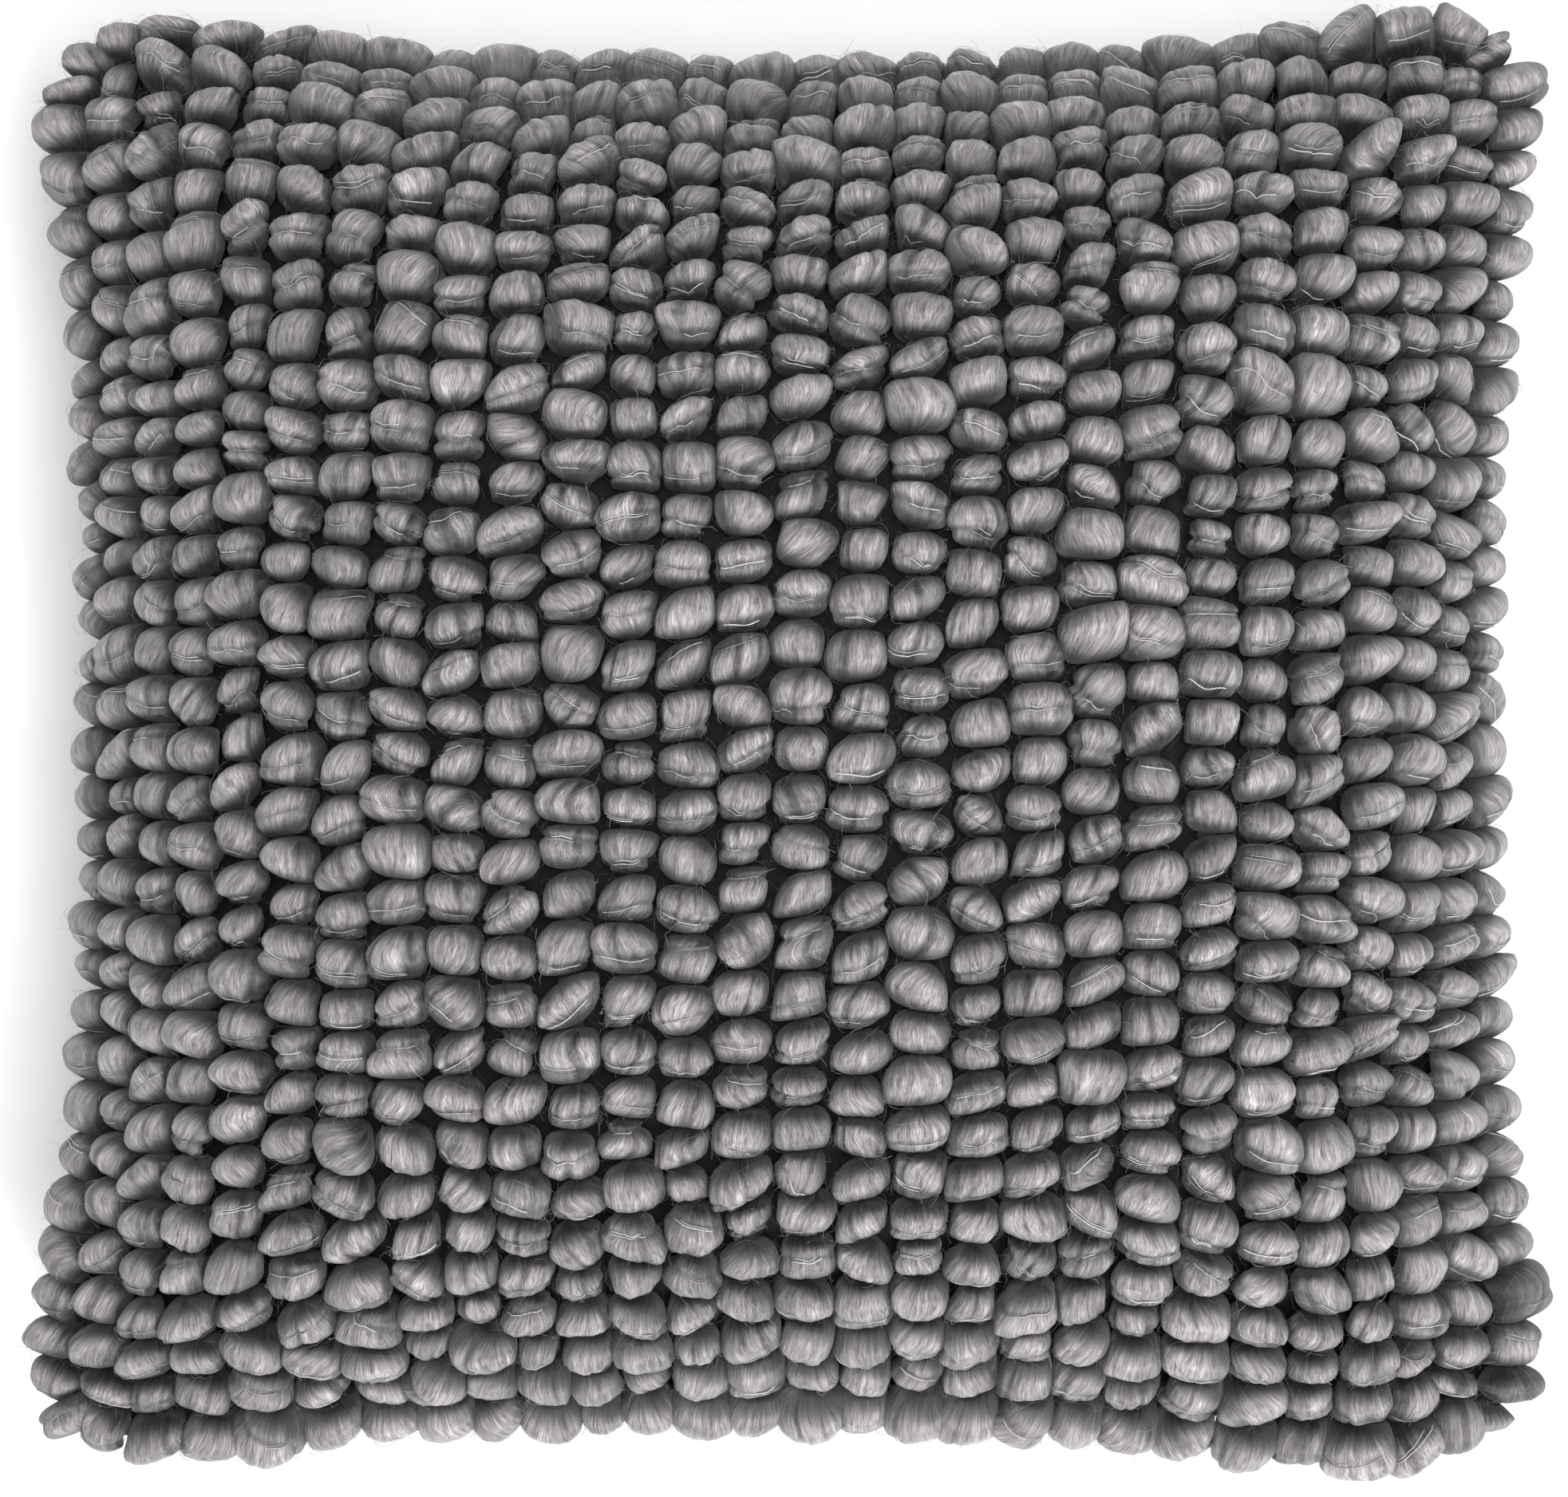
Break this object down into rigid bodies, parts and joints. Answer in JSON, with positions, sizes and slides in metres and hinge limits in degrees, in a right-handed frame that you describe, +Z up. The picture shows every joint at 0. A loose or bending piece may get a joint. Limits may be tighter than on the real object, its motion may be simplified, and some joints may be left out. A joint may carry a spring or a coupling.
{
  "type": "throw pillow",
  "caption": "Square throw pillow with a front of chunky woven loops in charcoal grey, a plain back, a zip in the lower seam and a filled insert.",
  "frame": {"origin": "centre of the base, on the surface that the pillow's back rests on", "axes": "+Z up through the looped front, +Y along the columns of loops away from the zip, +X across the columns"},
  "size_m": [0.482, 0.47, 0.1632],
  "materials": {
    "roving": "soft combed roving with a satin sheen",
    "ground_cloth": "open plain weave, matt",
    "back_cloth": "plain canvas weave, matt",
    "binder": "fine light thread with a slight shine",
    "casing": "thin white non-woven",
    "filling": "white hollow fibre",
    "thread": "spun sewing thread",
    "zip_tape": "ribbed woven tape",
    "zip_coil": "moulded nylon coil",
    "zip_metal": "dark enamel",
    "label": "white satin tape, blank"
  },
  "bodies": {
    "pillow": {"front_ground_cloth": "ground_cloth", "back_panel": "back_cloth", "binder_threads": "binder", "insert_front_casing": "casing", "insert_back_casing": "casing", "insert_filling": "filling", "cover_seam_thread": "thread", "insert_seam_thread": "thread", "zip_tape_front": "zip_tape", "zip_tape_back": "zip_tape", "zip_coil_front": "zip_coil", "zip_coil_back": "zip_coil", "zip_top_stop_front": "zip_metal", "zip_top_stop_back": "zip_metal", "zip_bottom_stop": "zip_metal", "care_label": "label", "front_roving_01": "roving", "front_roving_02": "roving", "front_roving_03": "roving", "front_roving_04": "roving", "front_roving_05": "roving", "front_roving_06": "roving", "front_roving_07": "roving", "front_roving_08": "roving", "front_roving_09": "roving", "front_roving_10": "roving", "front_roving_11": "roving", "front_roving_12": "roving", "front_roving_13": "roving", "front_roving_14": "roving", "front_roving_15": "roving", "front_roving_16": "roving", "front_roving_17": "roving", "front_roving_18": "roving", "front_roving_19": "roving", "front_roving_20": "roving", "front_roving_21": "roving", "front_roving_22": "roving", "front_roving_23": "roving", "front_roving_24": "roving", "front_roving_25": "roving", "front_roving_26": "roving", "front_roving_27": "roving", "front_roving_28": "roving"},
    "slider": {"zip_slider": "zip_metal"},
    "pull": {"zip_pull": "zip_metal"}
  },
  "joints": [
    {"name": "zip_slider_travel", "type": "hinge", "parent": "pillow", "child": "slider", "pos_m": [0, -2.0931, 0.062], "axis": [0, 0, 1], "range_deg": [0, 10.13]},
    {"name": "zip_pull_swing", "type": "hinge", "parent": "slider", "child": "pull", "pos_m": [0.16525, -0.22861, 0.062], "axis": [0, 0, 1], "range_deg": [0, 175]}
  ]
}
